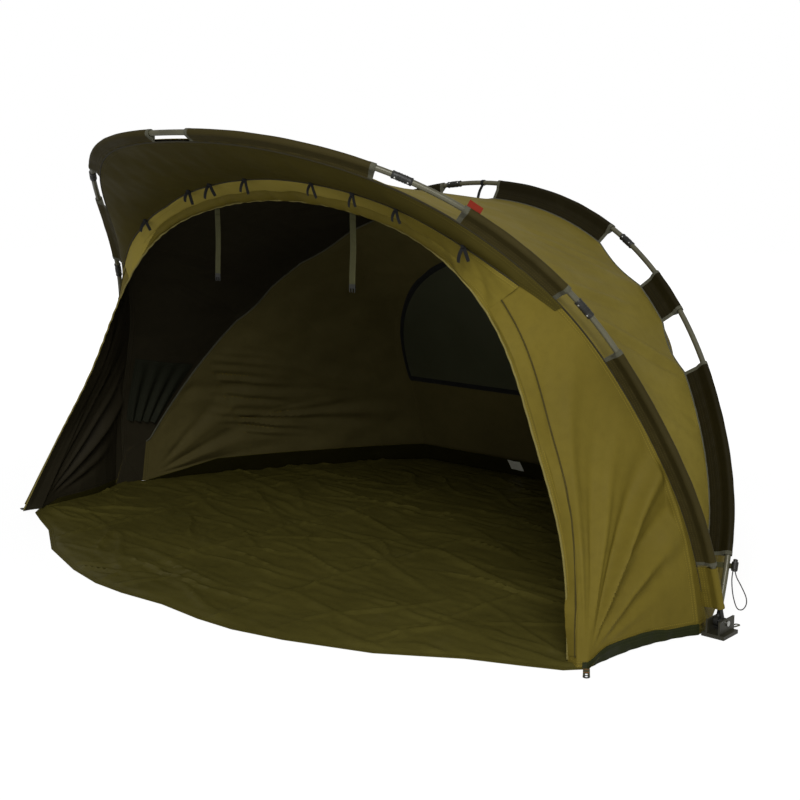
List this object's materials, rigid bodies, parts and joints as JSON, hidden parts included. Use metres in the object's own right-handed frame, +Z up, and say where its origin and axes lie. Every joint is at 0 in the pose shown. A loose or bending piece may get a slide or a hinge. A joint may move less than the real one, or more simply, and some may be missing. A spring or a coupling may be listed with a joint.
{
  "type": "bivvy tent",
  "caption": "Open-fronted fishing shelter hung below two sectional tube arches that fold on ground pivots, with a window in its rear wall and a groundsheet.",
  "frame": {"origin": "on the groundsheet's underside, midway between the two pivot blocks", "axes": "+X to the right seen from the doorway, +Y towards the rear wall, +Z up"},
  "size_m": [2.6591, 1.9534, 1.3148],
  "materials": {
    "roof_cloth": "olive woven polyester, slight sheen",
    "wall_cloth": "darker olive brown woven polyester",
    "sleeve_cloth": "heavy dark brown weave with pale binding",
    "visor_cloth": "dark brown woven polyester",
    "band_cloth": "light olive woven polyester",
    "floor_cloth": "coated dark olive groundsheet, creased",
    "pocket_cloth": "dark soft cloth",
    "mesh_cloth": "fine dark mesh",
    "webbing": "ribbed olive webbing",
    "red_cloth": "plain red tab",
    "pale_cloth": "plain pale tag",
    "cord": "thin braided black cord",
    "tube": "olive grey satin paint on aluminium tube",
    "plastic": "black moulded plastic",
    "steel": "bright steel"
  },
  "bodies": {
    "ground": {"pivot_block_right": "plastic", "pivot_block_left": "plastic", "hinge_pin_right": "steel", "hinge_pin_left": "steel", "corner_loop_right": "webbing", "corner_loop_left": "webbing", "block_loop_right": "webbing", "block_loop_left": "webbing", "roof_front": "roof_cloth", "roof_rear": "roof_cloth", "groundsheet": "floor_cloth", "wall_pocket": "pocket_cloth", "floor_tag": "pale_cloth"},
    "front_arch": {"front_tube_leg_right": "tube", "front_tube_side_right": "tube", "front_tube_crown": "tube", "front_tube_side_left": "tube", "front_tube_leg_left": "tube", "front_joint_lower_right": "plastic", "front_joint_upper_right": "plastic", "front_joint_upper_left": "plastic", "front_joint_lower_left": "plastic", "front_foot_right": "plastic", "front_foot_left": "plastic", "front_sleeve_lower_right": "sleeve_cloth", "front_sleeve_upper_right": "sleeve_cloth", "front_sleeve_crown_right": "sleeve_cloth", "front_sleeve_crown_left": "sleeve_cloth", "front_sleeve_upper_left": "sleeve_cloth", "front_sleeve_lower_left": "sleeve_cloth", "wing_right": "roof_cloth", "wing_left": "roof_cloth", "visor": "visor_cloth", "door_band": "band_cloth", "arch_label": "red_cloth"},
    "rear_arch": {"rear_tube_leg_right": "tube", "rear_tube_upper_right": "tube", "rear_tube_upper_left": "tube", "rear_tube_leg_left": "tube", "rear_joint_right": "plastic", "rear_joint_crown": "plastic", "rear_joint_left": "plastic", "rear_foot_right": "plastic", "rear_foot_left": "plastic", "rear_sleeve_lower_right": "sleeve_cloth", "rear_sleeve_short_right": "sleeve_cloth", "rear_sleeve_crown_right": "sleeve_cloth", "rear_sleeve_crown_left": "sleeve_cloth", "rear_sleeve_short_left": "sleeve_cloth", "rear_sleeve_lower_left": "sleeve_cloth", "rear_wall": "wall_cloth", "window_mesh": "mesh_cloth", "cord_lock": "plastic", "lock_strap": "webbing", "lock_cord": "cord"},
    "rod_strap_right": {"rod_strap_right": "webbing", "rod_strap_end_right": "plastic"},
    "rod_strap_left": {"rod_strap_left": "webbing", "rod_strap_end_left": "plastic"},
    "lock_button": {"cord_lock_button": "plastic"}
  },
  "joints": [
    {"name": "front_arch_fold", "type": "hinge", "parent": "ground", "child": "front_arch", "pos_m": [0, 0, 0.035], "axis": [-1, 0, 0], "range_deg": [0, 20], "deforming": ["roof_front", "wall_pocket"]},
    {"name": "rear_arch_fold", "type": "hinge", "parent": "ground", "child": "rear_arch", "pos_m": [0, 0, 0.035], "axis": [1, 0, 0], "range_deg": [0, 12], "deforming": ["roof_rear"]},
    {"name": "rod_strap_right_swing", "type": "hinge", "parent": "front_arch", "child": "rod_strap_right", "pos_m": [0.28767, -0.33294, 1.08543], "axis": [1, 0, 0], "range_deg": [-75, 75]},
    {"name": "rod_strap_left_swing", "type": "hinge", "parent": "front_arch", "child": "rod_strap_left", "pos_m": [-0.28767, -0.33294, 1.08543], "axis": [1, 0, 0], "range_deg": [-75, 75]},
    {"name": "lock_button_press", "type": "slide", "parent": "rear_arch", "child": "lock_button", "axis": [0.1639, -0.5235, -0.8361], "range_m": [0, 0.0045], "stiffness_N_per_m": 300}
  ]
}
